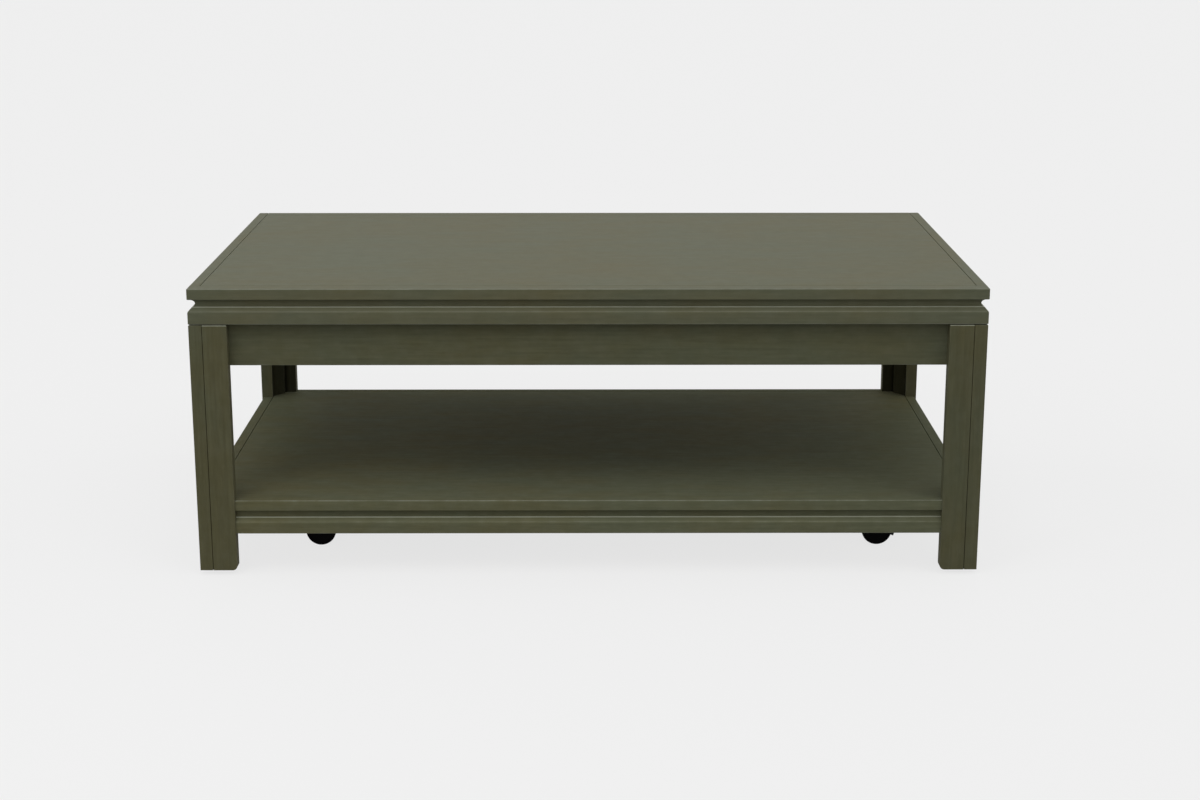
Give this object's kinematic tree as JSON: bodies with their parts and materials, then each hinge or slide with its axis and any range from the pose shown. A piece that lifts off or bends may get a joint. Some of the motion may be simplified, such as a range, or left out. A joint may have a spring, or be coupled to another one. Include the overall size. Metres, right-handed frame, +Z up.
{
  "type": "coffee table",
  "caption": "Low rectangular painted wood table with a moulded top, recessed aprons, corner legs and a lower shelf, on small swivel casters hidden under the shelf.",
  "frame": {"origin": "on the floor under the middle of the table", "axes": "+X along the length, -Y towards the front, +Z up"},
  "size_m": [1.219, 0.711, 0.457],
  "materials": {
    "olive_paint": "satin olive green paint",
    "bare_wood": "sawn, unpainted",
    "zinc_steel": "zinc plated",
    "black_nylon": "matt black",
    "wheel_nylon": "satin black"
  },
  "bodies": {
    "table": {"top_panel": "olive_paint", "top_edge_front": "olive_paint", "top_edge_back": "olive_paint", "top_edge_left": "olive_paint", "top_edge_right": "olive_paint", "apron_front": "olive_paint", "apron_back": "olive_paint", "apron_left": "olive_paint", "apron_right": "olive_paint", "leg_fl_face_board": "olive_paint", "leg_fl_side_board": "olive_paint", "leg_fl_corner_block": "olive_paint", "leg_fr_face_board": "olive_paint", "leg_fr_side_board": "olive_paint", "leg_fr_corner_block": "olive_paint", "leg_rl_face_board": "olive_paint", "leg_rl_side_board": "olive_paint", "leg_rl_corner_block": "olive_paint", "leg_rr_face_board": "olive_paint", "leg_rr_side_board": "olive_paint", "leg_rr_corner_block": "olive_paint", "shelf_panel": "olive_paint", "shelf_edge_front": "olive_paint", "shelf_edge_back": "olive_paint", "shelf_edge_left": "olive_paint", "shelf_edge_right": "olive_paint", "top_batten_front": "bare_wood", "top_batten_back": "bare_wood", "top_short_battens": "bare_wood", "corner_braces": "bare_wood", "shelf_batten_front": "bare_wood", "shelf_batten_back": "bare_wood", "caster_rail_left": "bare_wood", "caster_rail_right": "bare_wood", "apron_screws": "zinc_steel", "top_screws": "zinc_steel", "shelf_screws": "zinc_steel", "caster_screws": "zinc_steel", "caster_fl_plate": "zinc_steel", "caster_fr_plate": "zinc_steel", "caster_rl_plate": "zinc_steel", "caster_rr_plate": "zinc_steel"},
    "caster_fl": {"caster_fl_housing": "black_nylon", "caster_fl_axle": "zinc_steel"},
    "caster_fl_wheel_front": {"caster_fl_wheel_front": "wheel_nylon"},
    "caster_fl_wheel_back": {"caster_fl_wheel_back": "wheel_nylon"},
    "caster_fr": {"caster_fr_housing": "black_nylon", "caster_fr_axle": "zinc_steel"},
    "caster_fr_wheel_front": {"caster_fr_wheel_front": "wheel_nylon"},
    "caster_fr_wheel_back": {"caster_fr_wheel_back": "wheel_nylon"},
    "caster_fr_brake_lever": {"caster_fr_brake_lever": "black_nylon"},
    "caster_rl": {"caster_rl_housing": "black_nylon", "caster_rl_axle": "zinc_steel"},
    "caster_rl_wheel_front": {"caster_rl_wheel_front": "wheel_nylon"},
    "caster_rl_wheel_back": {"caster_rl_wheel_back": "wheel_nylon"},
    "caster_rl_brake_lever": {"caster_rl_brake_lever": "black_nylon"},
    "caster_rr": {"caster_rr_housing": "black_nylon", "caster_rr_axle": "zinc_steel"},
    "caster_rr_wheel_front": {"caster_rr_wheel_front": "wheel_nylon"},
    "caster_rr_wheel_back": {"caster_rr_wheel_back": "wheel_nylon"}
  },
  "joints": [
    {"name": "caster_fl_swivel", "type": "hinge", "parent": "table", "child": "caster_fl", "pos_m": [-0.455, -0.1845, 0.06], "axis": [0, 0, 1], "continuous": true},
    {"name": "caster_fl_wheel_front_spin", "type": "hinge", "parent": "caster_fl", "child": "caster_fl_wheel_front", "pos_m": [-0.4385, -0.1845, 0.02425], "axis": [0, 1, 0], "continuous": true},
    {"name": "caster_fl_wheel_back_spin", "type": "hinge", "parent": "caster_fl", "child": "caster_fl_wheel_back", "pos_m": [-0.4385, -0.1845, 0.02425], "axis": [0, 1, 0], "continuous": true},
    {"name": "caster_fr_swivel", "type": "hinge", "parent": "table", "child": "caster_fr", "pos_m": [0.455, -0.1845, 0.06], "axis": [0, 0, 1], "continuous": true},
    {"name": "caster_fr_wheel_front_spin", "type": "hinge", "parent": "caster_fr", "child": "caster_fr_wheel_front", "pos_m": [0.4715, -0.1845, 0.02425], "axis": [0, 1, 0], "continuous": true},
    {"name": "caster_fr_wheel_back_spin", "type": "hinge", "parent": "caster_fr", "child": "caster_fr_wheel_back", "pos_m": [0.4715, -0.1845, 0.02425], "axis": [0, 1, 0], "continuous": true},
    {"name": "caster_fr_brake_tilt", "type": "hinge", "parent": "caster_fr", "child": "caster_fr_brake_lever", "pos_m": [0.49579, -0.1845, 0.03828], "axis": [0, -1, 0], "range_deg": [0, 20]},
    {"name": "caster_rl_swivel", "type": "hinge", "parent": "table", "child": "caster_rl", "pos_m": [-0.455, 0.1845, 0.06], "axis": [0, 0, 1], "continuous": true},
    {"name": "caster_rl_wheel_front_spin", "type": "hinge", "parent": "caster_rl", "child": "caster_rl_wheel_front", "pos_m": [-0.4385, 0.1845, 0.02425], "axis": [0, 1, 0], "continuous": true},
    {"name": "caster_rl_wheel_back_spin", "type": "hinge", "parent": "caster_rl", "child": "caster_rl_wheel_back", "pos_m": [-0.4385, 0.1845, 0.02425], "axis": [0, 1, 0], "continuous": true},
    {"name": "caster_rl_brake_tilt", "type": "hinge", "parent": "caster_rl", "child": "caster_rl_brake_lever", "pos_m": [-0.41421, 0.1845, 0.03828], "axis": [0, -1, 0], "range_deg": [0, 20]},
    {"name": "caster_rr_swivel", "type": "hinge", "parent": "table", "child": "caster_rr", "pos_m": [0.455, 0.1845, 0.06], "axis": [0, 0, 1], "continuous": true},
    {"name": "caster_rr_wheel_front_spin", "type": "hinge", "parent": "caster_rr", "child": "caster_rr_wheel_front", "pos_m": [0.4715, 0.1845, 0.02425], "axis": [0, 1, 0], "continuous": true},
    {"name": "caster_rr_wheel_back_spin", "type": "hinge", "parent": "caster_rr", "child": "caster_rr_wheel_back", "pos_m": [0.4715, 0.1845, 0.02425], "axis": [0, 1, 0], "continuous": true}
  ]
}
